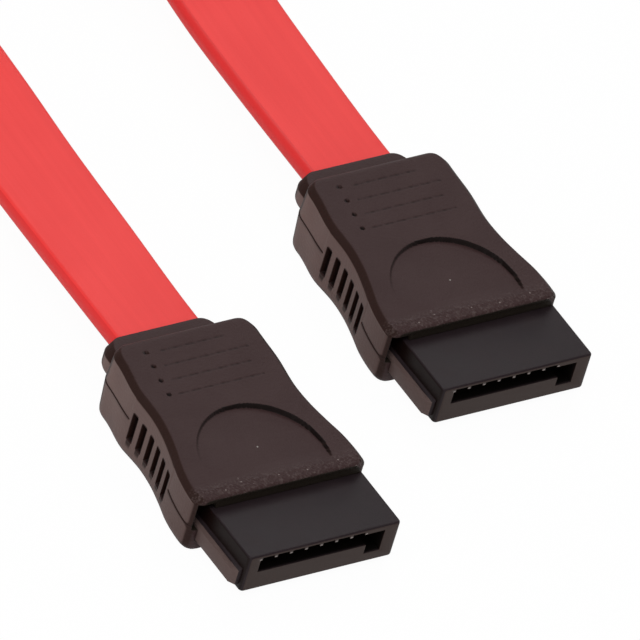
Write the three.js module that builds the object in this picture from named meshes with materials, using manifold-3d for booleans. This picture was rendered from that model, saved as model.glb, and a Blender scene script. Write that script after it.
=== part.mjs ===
// A SATA data cable: two straight seven-contact plugs and the flat cable between them.
// Millimetres, +Z up. The plugs lie side by side on their flat undersides and face -Y.
// The origin is on that surface, at the middle of the two plugs.
import * as THREE from 'three';
import { mergeVertices } from 'three/addons/utils/BufferGeometryUtils.js';
import Module from 'manifold-3d';

const wasm = await Module();
wasm.setup();

// How the two plugs lie
const plugSpacing = 23.1;        // between the plugs' centre lines
const plugStagger = 10.8;        // how far plug b lies behind plug a

// Housing, in hard plastic
const headWidth = 12.8;
const headShift = 0.55;          // the head stands to the right, because its left side has a wing
const headBottom = 0.65;         // height of its underside above the overmould's
const headHeight = 3.15;
const headReach = 5.3;           // how far it stands out of the overmould
const headBuried = 4.0;          // how far it reaches into the overmould
const headCorner = 0.35;
const wingWidth = 0.6;
const wingHeight = 1.35;
const wingRaise = 0.45;          // from the housing's underside to the wing's
const wingSetback = 0.45;        // from the mating face to the wing's tip
const wingLeadIn = 0.45;         // length of its slanted corner
const wingLeadWidth = 0.3;
const wingBuried = 1.6;

// L-shaped slot that takes the drive's tongue
const slotWidth = 10.5;
const slotShift = 0.4;
const slotThin = 1.1;
const slotLegHeight = 1.9;
const slotLegWidth = 1.35;
const slotDepth = 6.2;

// Contacts and the channels that they lie in
const contactCount = 7;
const contactPitch = 1.27;
const contactWidth = 0.76;
const contactThickness = 0.16;
const contactBow = 0.42;         // how far the spring bows down into the slot
const contactTipDrop = 0.06;
const contactSeat = 0.5;         // from the tip to where the strip touches its channel
const bowStart = 1.6;            // from the tip to the bow's lowest point
const bowEnd = 3.8;              // from the tip to the end of the bow
const contactTip = 0.6;          // from the mating face to the tip
const contactTail = 2.0;         // behind the housing, where its wire is soldered
const channelWidth = 1.0;
const channelDepth = 0.22;
const channelWall = 0.18;        // left above the channels
const channelDrop = 0.32;        // passage below the slot's top, behind the slot
const firstContact = 0.65;       // from the slot's closed end to the first contact's middle
const fitClearance = 0.05;
const cutMargin = 1;             // how far a cutter stands out of what it cuts

// Overmould, in soft plastic
const bodyLength = 15.0;
const bodyFrontWidth = 14.4;
const bodyWaistWidth = 12.3;
const waistStart = 0.5;          // where the waist begins, as a share of the length
const waistEnd = 0.78;
const flareShare = 0.42;         // share of the length in which it widens towards the front
const bodyRearWidth = 12.4;
const bodyFrontHeight = 4.75;
const bodyRearHeight = 6.1;
const topChamfer = 0.45;
const bottomChamfer = 0.6;
const rearRound = 0.45;
const rearCorner = 1.4;          // roundness of its rear corners, seen from above
const frontCorner = 0.7;
const frontRound = 0.2;
const hoodDepth = 2.0;           // open gap over the wing
const hoodWall = 0.45;
const collarLength = 2.0;
const collarWidth = 9.0;
const collarWall = 0.35;         // over and under the cable
const collarCorner = 0.6;
const collarTaper = 0.8;         // length of its rounded end
const collarInset = 0.15;        // how far its end is smaller all round
const collarEndCorner = 0.5;

// Thumb recess, index marks and grip slots on the overmould
const thumbRadius = 4.8;
const thumbCentre = 2.8;         // behind the overmould's front edge
const thumbDepth = 0.35;         // at its rear edge
const thumbFrontDepth = 0.08;    // where it runs out over the overmould's front edge
const markCount = 4;
const markPitch = 1.3;
const markLength = 6.8;
const markWidth = 0.16;
const markDepth = 0.1;
const markInset = 1.28;          // from the overmould's rear edge to the first mark
const markShift = 0.4;
const dotOffset = 3.65;
const dotWidth = 0.4;
const gripCount = 6;
const gripPitch = 1.1;
const gripWidth = 0.62;
const gripDepth = 0.35;
const gripBottom = 1.35;
const gripHeight = 2.6;
const gripFirst = 4.32;          // from the front edge to the first slot

// Cable, its cores and the carrier that holds them in the plug
const cableWidth = 7.6;
const cableThickness = 1.3;
const cableCorner = 0.4;
const cableHeight = 3.5;         // height of its middle where it leaves the plug
const cableShift = 0.35;         // from the overmould's middle to the cable's
const jacketEntry = 3.6;         // length of jacket inside the plug, from the collar's end
const coreDiameter = 1.1;
const conductorDiameter = 0.4;
const boreClearance = 0.05;
const corePairGap = 0.05;
const pairOffset = 1.7;          // from the cable's middle to the middle of a pair
const drainOffset = 3.3;
const foilThickness = 0.08;
const foilLength = 2.4;
const foilLead = 0.2;            // straight stretch of the cores ahead of the foil
const stripLength = 2.4;         // bare conductor ahead of the insulation
const carrierWidth = 10.6;
const carrierBottom = 1.3;
const carrierGap = 0.1;          // ahead of the carrier, to the housing
const carrierEndGap = 0.3;       // behind it, to the jacket
const carrierRelief = 0.2;       // under the foils
const wireStep = 0.8;

// Spare length, put away as an oval hank behind the plugs and held by two ties
const hankOuter = 25.2;          // turning radius of the outer run's middle
const runSpacing = 3.0;
const hankFront = 85.0;          // where the hank's straight runs begin
const hankRun = 29.4;
const hankBase = 0.45;           // the ties' straps pass below it
const tieWidth = 4.0;
const tieThickness = 0.4;
const tieClearance = 0.1;

// Worked out from the sizes above
const bodyFront = headReach;
const bodyRear = bodyFront + bodyLength;
const housingRear = headReach + headBuried;
const plugLength = bodyRear + collarLength;
const headTop = headBottom + headHeight;
const channelTop = headTop - channelWall;
const slotTop = channelTop - channelDepth;
const headLeft = headShift - headWidth / 2;
const headRight = headShift + headWidth / 2;
const slotLeft = slotShift - slotWidth / 2;
const slotRight = slotShift + slotWidth / 2;
const wingBottom = headBottom + wingRaise;
const wingTop = wingBottom + wingHeight;
const wingOuter = headLeft - wingWidth;
const contactTop = channelTop - fitClearance;
const tailEnd = housingRear + contactTail;
const jacketEnd = plugLength - jacketEntry;
const cavityBottom = carrierBottom - fitClearance;
const cavityWidth = carrierWidth + 2 * fitClearance;
const cavityTop = cableHeight + coreDiameter / 2 + foilThickness + 3 * fitClearance;
const wireHeight = contactTop - contactThickness - fitClearance - conductorDiameter / 2;
const wireEnd = jacketEnd - fitClearance;
const foilFront = wireEnd - foilLength;
const wireFront = housingRear + 2 * fitClearance;
const coreFront = wireFront + stripLength;
const topSlope = (bodyRearHeight - bodyFrontHeight) / bodyLength;
const frontY = -(plugLength + plugStagger) / 2;

const finishes = {
  overmould: { color: 0x453b3b, roughness: 0.62, metalness: 0 },
  housing: { color: 0x3a3232, roughness: 0.42, metalness: 0 },
  contact: { color: 0xc9a24a, roughness: 0.3, metalness: 1 },
  carrier: { color: 0xd9d6cc, roughness: 0.6, metalness: 0 },
  core: { color: 0xe6e6e2, roughness: 0.5, metalness: 0 },
  wire: { color: 0xb9bcc0, roughness: 0.35, metalness: 1 },
  foil: { color: 0xc4c8cc, roughness: 0.3, metalness: 1 },
  jacket: { color: 0xe84a46, roughness: 0.45, metalness: 0 },
  tie: { color: 0x1d1d1f, roughness: 0.55, metalness: 0 },
};

function piece(name, geometry, finish) {
  const mesh = new THREE.Mesh(geometry, new THREE.MeshStandardMaterial(finishes[finish]));
  mesh.name = name;
  return mesh;
}

// Closed geometry to a solid for cutting, and back
function toSolid(geometry) {
  const bare = geometry.clone();
  bare.deleteAttribute('normal');
  bare.deleteAttribute('uv');
  const merged = mergeVertices(bare, 1e-5);
  return new wasm.Manifold(new wasm.Mesh({
    numProp: 3,
    vertProperties: new Float32Array(merged.attributes.position.array),
    triVerts: new Uint32Array(merged.index.array),
  }));
}

function toGeometry(solid) {
  const mesh = solid.getMesh();
  const geometry = new THREE.BufferGeometry();
  geometry.setAttribute('position', new THREE.BufferAttribute(mesh.vertProperties, 3));
  geometry.setIndex(new THREE.BufferAttribute(mesh.triVerts, 1));
  geometry.computeVertexNormals();
  return geometry;
}

function cut(geometry, cutters) {
  let solid = toSolid(geometry);
  for (const cutter of cutters) {
    solid = solid.subtract(toSolid(cutter));
  }
  return toGeometry(solid);
}

function join(geometries) {
  let solid = toSolid(geometries[0]);
  for (const geometry of geometries.slice(1)) {
    solid = solid.add(toSolid(geometry));
  }
  return toGeometry(solid);
}

// A box between two corners
function box(x0, x1, y0, y1, z0, z1) {
  const geometry = new THREE.BoxGeometry(x1 - x0, y1 - y0, z1 - z0);
  return geometry.translate((x0 + x1) / 2, (y0 + y1) / 2, (z0 + z1) / 2);
}

function outline(points) {
  return new THREE.Shape(points.map(([a, b]) => new THREE.Vector2(a, b)));
}

// An outline drawn in X and Z, carried along Y
function alongY(shape, y0, y1, steps = 1) {
  const options = { depth: y1 - y0, steps, bevelEnabled: false, curveSegments: 4 };
  const geometry = new THREE.ExtrudeGeometry(shape, options);
  const turn = new THREE.Matrix4().makeBasis(
    new THREE.Vector3(1, 0, 0), new THREE.Vector3(0, 0, 1), new THREE.Vector3(0, -1, 0));
  return geometry.applyMatrix4(turn).translate(0, y1, 0);
}

// An outline drawn in Y and Z, carried along X
function alongX(shape, x0, x1) {
  const geometry = new THREE.ExtrudeGeometry(shape, { depth: x1 - x0, bevelEnabled: false });
  const turn = new THREE.Matrix4().makeBasis(
    new THREE.Vector3(0, 1, 0), new THREE.Vector3(0, 0, 1), new THREE.Vector3(1, 0, 0));
  return geometry.applyMatrix4(turn).translate(x0, 0, 0);
}

// An outline drawn in X and Y, carried up from z0 to z1
function upward(shape, z0, z1, curveSegments = 6) {
  const options = { depth: z1 - z0, bevelEnabled: false, curveSegments };
  return new THREE.ExtrudeGeometry(shape, options).translate(0, 0, z0);
}

function moveVertices(geometry, place) {
  const position = geometry.attributes.position;
  const point = new THREE.Vector3();
  for (let i = 0; i < position.count; i += 1) {
    point.fromBufferAttribute(position, i);
    place(point);
    position.setXYZ(i, point.x, point.y, point.z);
  }
  geometry.computeVertexNormals();
  return geometry;
}

// A skin through rings of equal point count, closed by a flat face at each end
function loft(rings) {
  const count = rings[0].length;
  const vertices = rings.flat().flatMap((point) => [point.x, point.y, point.z]);
  const faces = [];
  for (let r = 0; r < rings.length - 1; r += 1) {
    for (let i = 0; i < count; i += 1) {
      const a = r * count + i;
      const b = r * count + ((i + 1) % count);
      faces.push(a, a + count, b, b, a + count, b + count);
    }
  }
  const flat = rings[0].map((point) => new THREE.Vector2(point.x, point.z));
  const last = (rings.length - 1) * count;
  for (const [a, b, c] of THREE.ShapeUtils.triangulateShape(flat, [])) {
    faces.push(a, b, c);
    faces.push(last + a, last + c, last + b);
  }
  const geometry = new THREE.BufferGeometry();
  geometry.setAttribute('position', new THREE.Float32BufferAttribute(vertices, 3));
  geometry.setIndex(faces);
  return geometry;
}

function smooth(t) {
  const s = THREE.MathUtils.clamp(t, 0, 1);
  return s * s * (3 - 2 * s);
}

// Overmould: a wedge with a waist, chamfered along its edges, and a collar round the cable
function bodyTop(y) {
  return bodyFrontHeight + topSlope * (y - bodyFront);
}

function bodyHalfWidth(y) {
  const along = (y - bodyFront) / bodyLength;
  const flare = smooth((waistStart - along) / flareShare);
  const tail = smooth((along - waistEnd) / (1 - waistEnd));
  const waist = bodyWaistWidth / 2;
  return waist + flare * (bodyFrontWidth / 2 - waist) + tail * (bodyRearWidth / 2 - waist);
}

function sectionRing(y, half, low, high, lowCut, highCut, shift = 0) {
  const side = [
    [half - lowCut, low], [half, low + lowCut], [half, high - highCut], [half - highCut, high],
  ];
  const mirrored = side.map(([x, z]) => [-x, z]).reverse();
  return [...side, ...mirrored].map(([x, z]) => new THREE.Vector3(x + shift, y, z));
}

function overmouldSkin() {
  const rings = [0, Math.PI / 4].map((angle) => {
    const y = bodyFront + frontCorner * (1 - Math.cos(angle));
    const side = bodyHalfWidth(y) - frontCorner * (1 - Math.sin(angle));
    const round = frontRound * (1 - Math.sin(angle)) ** 2;
    return sectionRing(y, side, round, bodyTop(y) - round, bottomChamfer, topChamfer);
  });
  for (const share of [0.05, 0.14, 0.22, 0.3, 0.38, 0.48, 0.78, 0.9]) {
    const y = bodyFront + share * bodyLength;
    rings.push(sectionRing(y, bodyHalfWidth(y), 0, bodyTop(y), bottomChamfer, topChamfer));
  }
  for (const angle of [Math.PI / 4, Math.PI / 2]) {
    const y = bodyRear - rearCorner * (1 - Math.sin(angle));
    const side = bodyHalfWidth(y) - rearCorner * (1 - Math.cos(angle));
    const round = rearRound * (1 - Math.cos(angle)) ** 2;
    rings.push(sectionRing(y, side, round, bodyTop(y) - round, bottomChamfer, topChamfer));
  }
  const collarBottom = cableHeight - cableThickness / 2 - collarWall;
  const collarTop = cableHeight + cableThickness / 2 + collarWall;
  const collarHalf = collarWidth / 2;
  for (const y of [bodyRear, plugLength - collarTaper]) {
    rings.push(sectionRing(y, collarHalf, collarBottom, collarTop, collarCorner, collarCorner,
      cableShift));
  }
  rings.push(sectionRing(plugLength, collarHalf - collarInset, collarBottom + collarInset,
    collarTop - collarInset, collarEndCorner, collarEndCorner, cableShift));
  return loft(rings);
}

function thumbRecess() {
  const shape = new THREE.Shape();
  shape.absarc(0, bodyFront + thumbCentre, thumbRadius, 0, 2 * Math.PI);
  const rearEdge = bodyFront + thumbCentre + thumbRadius;
  const floorRear = bodyTop(rearEdge) - thumbDepth;
  const floorFront = bodyTop(bodyFront) - thumbFrontDepth;
  const floorSlope = (floorRear - floorFront) / (rearEdge - bodyFront);
  return moveVertices(upward(shape, 0, 2 * bodyRearHeight, 18), (point) => {
    if (point.z < bodyRearHeight) {
      point.z = floorRear + floorSlope * (point.y - rearEdge);
    }
  });
}

// A shallow bar in the sloping top face
function topMark(x, y, length, width) {
  const bar = box(x - length / 2, x + length / 2, y - width / 2, y + width / 2,
    -markDepth, cutMargin);
  return moveVertices(bar, (point) => {
    point.z += bodyTop(point.y);
  });
}

function gripSlots() {
  const slots = [];
  for (let i = 0; i < gripCount; i += 1) {
    const y = bodyFront + gripFirst + i * gripPitch;
    const floor = bodyHalfWidth(y) - gripDepth;
    for (const side of [-1, 1]) {
      const edges = [side * floor, side * bodyFrontWidth].sort((a, b) => a - b);
      slots.push(box(edges[0], edges[1], y - gripWidth / 2, y + gripWidth / 2,
        gripBottom, gripBottom + gripHeight));
    }
  }
  return slots;
}

function overmould() {
  const gap = fitClearance;
  const passageLeft = cableShift - cableWidth / 2 - gap;
  const passageRight = cableShift + cableWidth / 2 + gap;
  const passageHigh = cableHeight + cableThickness / 2 + gap;
  const passageLow = cableHeight - cableThickness / 2 - gap;
  const cutters = [
    box(headLeft - gap, headRight + gap, bodyFront - cutMargin, housingRear + gap,
      headBottom - gap, headTop + gap),
    box(wingOuter - gap, headShift, bodyFront - cutMargin, bodyFront + wingBuried + gap,
      wingBottom - gap, wingTop + gap),
    box(wingOuter - gap, headShift, bodyFront - cutMargin, bodyFront + hoodDepth,
      wingTop - gap, bodyTop(bodyFront) - hoodWall),
    box(-cavityWidth / 2, cavityWidth / 2, housingRear - gap, jacketEnd, cavityBottom, cavityTop),
    box(passageLeft, passageRight, jacketEnd - cutMargin, plugLength + cutMargin,
      passageLow, passageHigh),
    thumbRecess(),
    ...gripSlots(),
  ];
  for (let i = 0; i < markCount; i += 1) {
    const y = bodyRear - markInset - i * markPitch;
    cutters.push(topMark(markShift, y, markLength, markWidth));
    cutters.push(topMark(-dotOffset, y, dotWidth, dotWidth));
  }
  return cut(overmouldSkin(), cutters);
}

// Housing: the head with the wing on its left side, the slot and the contact channels
function contactX(index) {
  return slotLeft + firstContact + index * contactPitch;
}

function housing() {
  const head = new THREE.Shape();
  head.moveTo(headLeft, housingRear);
  head.lineTo(headLeft, headCorner);
  head.absarc(headLeft + headCorner, headCorner, headCorner, Math.PI, 1.5 * Math.PI);
  head.absarc(headRight - headCorner, headCorner, headCorner, 1.5 * Math.PI, 2 * Math.PI);
  head.lineTo(headRight, housingRear);
  const wing = outline([
    [wingOuter + wingLeadWidth, wingSetback], [headShift, wingSetback],
    [headShift, bodyFront + wingBuried], [wingOuter, bodyFront + wingBuried],
    [wingOuter, wingSetback + wingLeadIn],
  ]);
  const body = join([upward(head, headBottom, headTop, 4), upward(wing, wingBottom, wingTop)]);
  const slotFloor = slotTop - slotThin;
  const legFloor = slotTop - slotLegHeight;
  const slot = outline([
    [slotLeft, slotTop], [slotLeft, slotFloor], [slotRight - slotLegWidth, slotFloor],
    [slotRight - slotLegWidth, legFloor], [slotRight, legFloor], [slotRight, slotTop],
  ]);
  const cutters = [alongY(slot, -cutMargin, slotDepth)];
  for (let i = 0; i < contactCount; i += 1) {
    const x = contactX(i);
    cutters.push(box(x - channelWidth / 2, x + channelWidth / 2,
      -cutMargin, housingRear + cutMargin, slotTop - channelDrop, channelTop));
  }
  return cut(body, cutters);
}

// Contact: a strip with a bowed spring at its front and a flat solder tail
function contact(index) {
  const start = contactTip;
  const bow = [
    [start, -contactTipDrop], [start + contactSeat, 0],
    [start + (contactSeat + bowStart) / 2, -contactBow / 2], [start + bowStart, -contactBow],
    [start + (2 * bowStart + bowEnd) / 3, -0.85 * contactBow], [start + bowEnd, 0], [tailEnd, 0],
  ];
  const upper = bow.map(([y, drop]) => [y, contactTop + drop]);
  const lower = bow.map(([y, drop]) => [y, contactTop + drop - contactThickness]).reverse();
  const x = contactX(index);
  return alongX(outline([...upper, ...lower]), x - contactWidth / 2, x + contactWidth / 2);
}

// Where each of the seven wires lies in the cable, in the order of the contacts
const coreOffset = coreDiameter / 2 + corePairGap / 2;
const wirePlaces = [
  -drainOffset, -pairOffset - coreOffset, -pairOffset + coreOffset, 0,
  pairOffset - coreOffset, pairOffset + coreOffset, drainOffset,
].map((place) => cableShift + place);

// A straight bar at its contact's place, led over to its place in the cable
function leadOver(geometry, index) {
  return moveVertices(geometry, (point) => {
    const t = smooth((point.y - coreFront) / (foilFront - foilLead - coreFront));
    point.x += contactX(index) + t * (wirePlaces[index] - contactX(index));
    point.z += wireHeight + t * (cableHeight - wireHeight);
  });
}

function circlePoints(radius, count) {
  const points = [];
  for (let i = 0; i < count; i += 1) {
    const angle = (i + 0.5) * 2 * Math.PI / count;
    points.push([radius * Math.cos(angle), radius * Math.sin(angle)]);
  }
  return points;
}

function stationsFrom(y) {
  return Math.round((wireEnd - y) / wireStep);
}

function wire(index) {
  const steps = stationsFrom(wireFront);
  const bar = alongY(outline(circlePoints(conductorDiameter / 2, 6)),
    wireEnd - steps * wireStep, wireEnd, steps);
  return leadOver(bar, index);
}

function coreInsulation(index) {
  const shape = outline(circlePoints(coreDiameter / 2, 10));
  const bore = circlePoints(conductorDiameter / 2 + boreClearance, 6);
  shape.holes.push(new THREE.Path(bore.map(([a, b]) => new THREE.Vector2(a, b)).reverse()));
  const steps = stationsFrom(coreFront);
  return leadOver(alongY(shape, wireEnd - steps * wireStep, wireEnd, steps), index);
}

// Foil wrapped round a pair of cores: an oval sleeve
function ovalPoints(halfWidth, radius, count) {
  const points = [];
  for (let i = 0; i < count; i += 1) {
    const angle = (i + 0.5) * 2 * Math.PI / count;
    const shift = Math.cos(angle) > 0 ? halfWidth - radius : radius - halfWidth;
    points.push([shift + radius * Math.cos(angle), radius * Math.sin(angle)]);
  }
  return points;
}

function pairShield(side) {
  const innerRadius = coreDiameter / 2 + fitClearance;
  const innerHalf = coreDiameter + corePairGap / 2 + fitClearance;
  const grow = foilThickness;
  const shape = outline(ovalPoints(innerHalf + grow, innerRadius + grow, 16));
  const hole = ovalPoints(innerHalf, innerRadius, 16);
  shape.holes.push(new THREE.Path(hole.map(([a, b]) => new THREE.Vector2(a, b)).reverse()));
  return alongY(shape, foilFront, wireEnd).translate(cableShift + side * pairOffset, 0, cableHeight);
}

// Carrier: the moulded tray that the cores lie on behind the housing
function wireCarrier() {
  const start = housingRear + carrierGap;
  const end = jacketEnd - carrierEndGap;
  const underWire = wireHeight - conductorDiameter / 2 - fitClearance;
  const underCore = wireHeight - coreDiameter / 2 - carrierRelief;
  const underFoil = cableHeight - coreDiameter / 2 - foilThickness - carrierRelief - fitClearance;
  const step = coreFront - wireStep;
  const profile = outline([
    [start, carrierBottom], [end, carrierBottom], [end, underFoil], [foilFront, underFoil],
    [coreFront, underCore], [step, underCore], [step, underWire], [start, underWire],
  ]);
  return alongX(profile, -carrierWidth / 2, carrierWidth / 2);
}

// The cable's flat section with rounded edges
function ribbonSection() {
  const half = cableWidth / 2;
  const thick = cableThickness / 2;
  return outline([
    [half - cableCorner, -thick], [half, cableCorner - thick], [half, thick - cableCorner],
    [half - cableCorner, thick], [cableCorner - half, thick], [-half, thick - cableCorner],
    [-half, cableCorner - thick], [cableCorner - half, -thick],
  ]);
}

// A stretch of cable through chosen points: place x, y, z and the twist in degrees
function ribbon(points, steps) {
  const route = new THREE.CatmullRomCurve3(points.map((p) => new THREE.Vector3(p[0], p[1], p[2])));
  const twists = new THREE.CatmullRomCurve3(points.map((p) => new THREE.Vector3(p[3], 0, 0)),
    false, 'catmullrom');
  const upright = new THREE.Vector3(0, 0, 1);
  return moveVertices(alongY(ribbonSection(), 0, 1, steps), (point) => {
    const centre = route.getPoint(point.y);
    const ahead = route.getTangent(point.y);
    const twist = THREE.MathUtils.degToRad(twists.getPoint(point.y).x);
    const level = new THREE.Vector3().crossVectors(ahead, upright).normalize();
    const lift = new THREE.Vector3().crossVectors(level, ahead);
    const across = point.x * Math.cos(twist) - point.z * Math.sin(twist);
    const up = point.x * Math.sin(twist) + point.z * Math.cos(twist);
    point.copy(centre).addScaledVector(level, across).addScaledVector(lift, up);
  });
}

const plugX = plugSpacing / 2;
const leadXA = cableShift - plugX;
const leadXB = cableShift + plugX;
const entryA = frontY + jacketEnd;
const entryB = frontY + plugStagger + jacketEnd;
const onEdge = hankBase + cableWidth / 2;

// Chosen points of the two free stretches, each from its plug towards the hank
const leadA = [
  [leadXA, entryA, cableHeight, 0], [leadXA, entryA + 6, cableHeight, 0],
  [-11.1, 16, 3.5, 3.5], [-10.9, 24, 3.5, 6], [-10.6, 32, 3.6, 10], [-10.7, 40, 3.75, 19],
  [-11.6, 48, 3.9, 41], [-13.6, 56, onEdge - 0.1, 72], [-16.5, 63.3, onEdge, 90],
];
const leadB = [
  [leadXB, entryB, cableHeight, 0], [leadXB, entryB + 6, cableHeight, 0],
  [12, 27, 3.52, 3], [12.15, 34, 3.75, 5.5], [12.3, 41, 4.6, 7], [12.2, 48, 6.3, 8],
  [12.1, 56, 8.7, 4], [12.7, 64, 9.7, 4], [14.6, 71, 8.6, 30], [17.4, 77, 6.4, 64],
  [19.4, 81.6, 5, 84],
];

// Hank: an oval band as wide as its two runs
function racetrack(radius) {
  const shape = new THREE.Shape();
  shape.absarc(0, hankFront, radius, Math.PI, 2 * Math.PI);
  shape.absarc(0, hankFront + hankRun, radius, 0, Math.PI);
  return shape;
}

const hankOutside = hankOuter + cableThickness / 2;
const hankInside = hankOuter - runSpacing - cableThickness / 2;

function hank() {
  const shape = racetrack(hankOutside);
  shape.holes.push(new THREE.Path(racetrack(hankInside).getPoints(16).reverse()));
  return upward(shape, hankBase, hankBase + cableWidth, 16);
}

// Tie: a flat strap closed round the runs of one side
function tie(side) {
  const middle = side * (hankOutside + hankInside) / 2;
  const half = (hankOutside - hankInside) / 2 + tieClearance;
  const low = hankBase - tieClearance / 2;
  const high = hankBase + cableWidth + tieClearance;
  const start = hankFront + (hankRun - tieWidth) / 2;
  const strap = box(middle - half - tieThickness, middle + half + tieThickness,
    start, start + tieWidth, low - tieThickness, high + tieThickness);
  const inside = box(middle - half, middle + half,
    start - cutMargin, start + tieWidth + cutMargin, low, high);
  return cut(strap, [inside]);
}

function plug(letter, x, y) {
  const group = new THREE.Group();
  group.position.set(x, y, 0);
  group.add(piece(`overmould_${letter}`, overmould(), 'overmould'));
  group.add(piece(`housing_${letter}`, housing(), 'housing'));
  group.add(piece(`wire_carrier_${letter}`, wireCarrier(), 'carrier'));
  const drains = [0, 3, 6];
  for (let i = 0; i < contactCount; i += 1) {
    group.add(piece(`contact_${letter}_${i + 1}`, contact(i), 'contact'));
    if (drains.includes(i)) {
      group.add(piece(`drain_wire_${letter}_${i + 1}`, wire(i), 'wire'));
    } else {
      group.add(piece(`conductor_${letter}_${i + 1}`, wire(i), 'wire'));
      group.add(piece(`core_insulation_${letter}_${i + 1}`, coreInsulation(i), 'core'));
    }
  }
  group.add(piece(`pair_shield_${letter}_1`, pairShield(-1), 'foil'));
  group.add(piece(`pair_shield_${letter}_2`, pairShield(1), 'foil'));
  return group;
}

const cable = new THREE.Group();
cable.add(plug('a', -plugX, frontY));
cable.add(plug('b', plugX, frontY + plugStagger));
cable.add(piece('cable_lead_a', ribbon(leadA, 24), 'jacket'));
cable.add(piece('cable_lead_b', ribbon(leadB, 30), 'jacket'));
cable.add(piece('cable_hank', hank(), 'jacket'));
cable.add(piece('cable_tie_left', tie(-1), 'tie'));
cable.add(piece('cable_tie_right', tie(1), 'tie'));

export default cable;
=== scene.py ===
# A SATA data cable: two straight plugs on the ends of one flat red cable.
# Sizes are in millimetres and become metres when a mesh is made. After the camera, each section is
# one kind of piece, and the floor and the light come last.
import math

import bmesh
import bpy
import numpy as np
from mathutils import Matrix, Vector


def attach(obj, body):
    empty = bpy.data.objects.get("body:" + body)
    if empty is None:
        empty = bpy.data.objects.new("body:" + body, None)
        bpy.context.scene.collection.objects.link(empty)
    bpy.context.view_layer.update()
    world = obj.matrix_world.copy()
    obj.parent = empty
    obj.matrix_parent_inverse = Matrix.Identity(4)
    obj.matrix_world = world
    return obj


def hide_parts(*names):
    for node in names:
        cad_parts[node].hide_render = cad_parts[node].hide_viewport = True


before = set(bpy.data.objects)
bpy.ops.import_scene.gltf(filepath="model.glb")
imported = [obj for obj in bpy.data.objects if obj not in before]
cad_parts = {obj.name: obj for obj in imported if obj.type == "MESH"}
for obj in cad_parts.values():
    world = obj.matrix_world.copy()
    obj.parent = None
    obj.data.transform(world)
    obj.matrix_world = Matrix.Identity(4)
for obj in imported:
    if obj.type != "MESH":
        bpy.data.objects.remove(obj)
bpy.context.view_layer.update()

# Camera: a long lens to the left of the plugs, in front of them and above, turned a little on its
# axis, so that the plugs lie slanted in the picture.
view_azimuth = math.radians(-43.37306)
view_elevation = math.radians(39.68659)
view_roll = math.radians(17.46790)
view_distance = 2.0
view_aim = Vector((0.001589, 0.004090, 0.003))
lens_length = 1604.77


def add_object(name, data):
    piece = bpy.data.objects.new(name, data)
    bpy.context.scene.collection.objects.link(piece)
    return piece


camera_data = bpy.data.cameras.new("camera")
camera_data.lens = lens_length
camera_data.sensor_width = 36.0
camera_data.clip_end = 20.0
camera = add_object("camera", camera_data)
back = Vector((
    math.sin(view_azimuth) * math.cos(view_elevation),
    -math.cos(view_azimuth) * math.cos(view_elevation),
    math.sin(view_elevation),
))
level_right = Vector((0, 0, 1)).cross(back).normalized()
level_up = back.cross(level_right)
right = math.cos(view_roll) * level_right + math.sin(view_roll) * level_up
up = back.cross(right)
turned = Matrix((right, up, back)).transposed().to_4x4()
camera.matrix_world = Matrix.Translation(view_aim + view_distance * back) @ turned
bpy.context.scene.camera = camera


# Cable: one flat length of soft red PVC, extruded round its seven wires, with rounded edges.
# It runs from plug a through the hank's one and a half turns to plug b, on edge in the hank.
cable_width = 7.3
cable_thickness = 1.3
cable_edge_radius = 0.5
entry_a = 2.15
entry_b = 12.95
plug_x = 11.55
cable_shift = 0.27
cable_height = 3.5
on_edge = 4.25
hank_outer = 25.2
run_spacing = 3.0
hank_front = 85.0
hank_run = 29.4
arc_step = math.radians(12)
ring_step = 0.8

lead_a = [
    (cable_shift - plug_x, entry_a, cable_height, 0), (cable_shift - plug_x, entry_a + 6, cable_height, 0),
    (-11.1, 16, 3.5, 3.5), (-10.9, 24, 3.5, 6), (-10.6, 32, 3.6, 10), (-10.7, 40, 3.75, 19),
    (-11.6, 48, 3.9, 41), (-13.6, 56, on_edge - 0.1, 72), (-16.5, 63.3, on_edge, 90),
    (-20.8, 70.0, on_edge, 90), (-24.0, 77.5, on_edge, 90),
]
lead_b = [
    (cable_shift + plug_x, entry_b, cable_height, 0), (cable_shift + plug_x, entry_b + 6, cable_height, 0),
    (12.0, 27, 3.52, 3), (12.15, 34, 3.75, 5.5), (12.3, 41, 4.6, 7), (12.2, 48, 6.3, 8),
    (12.1, 56, 8.7, 4), (12.7, 64, 9.7, 4), (14.6, 71, 8.6, 30), (17.4, 77, 6.4, 64),
    (19.4, 81.6, 5.0, 84),
]


def half_turn(centre_x, centre_y, radius, start):
    steps = round(math.pi / arc_step)
    angles = [start - i * math.pi / steps for i in range(steps + 1)]
    return [
        (centre_x + radius * math.cos(t), centre_y + radius * math.sin(t), on_edge, 90)
        for t in angles
    ]


def hank_turns():
    inner = hank_outer - run_spacing
    rear = hank_front + hank_run
    middle = (hank_outer + inner) / 2
    return [
        *half_turn(0, rear, hank_outer, math.pi),
        *half_turn(run_spacing / 2, hank_front, middle, 0),
        *half_turn(0, rear, inner, math.pi),
    ]


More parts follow.
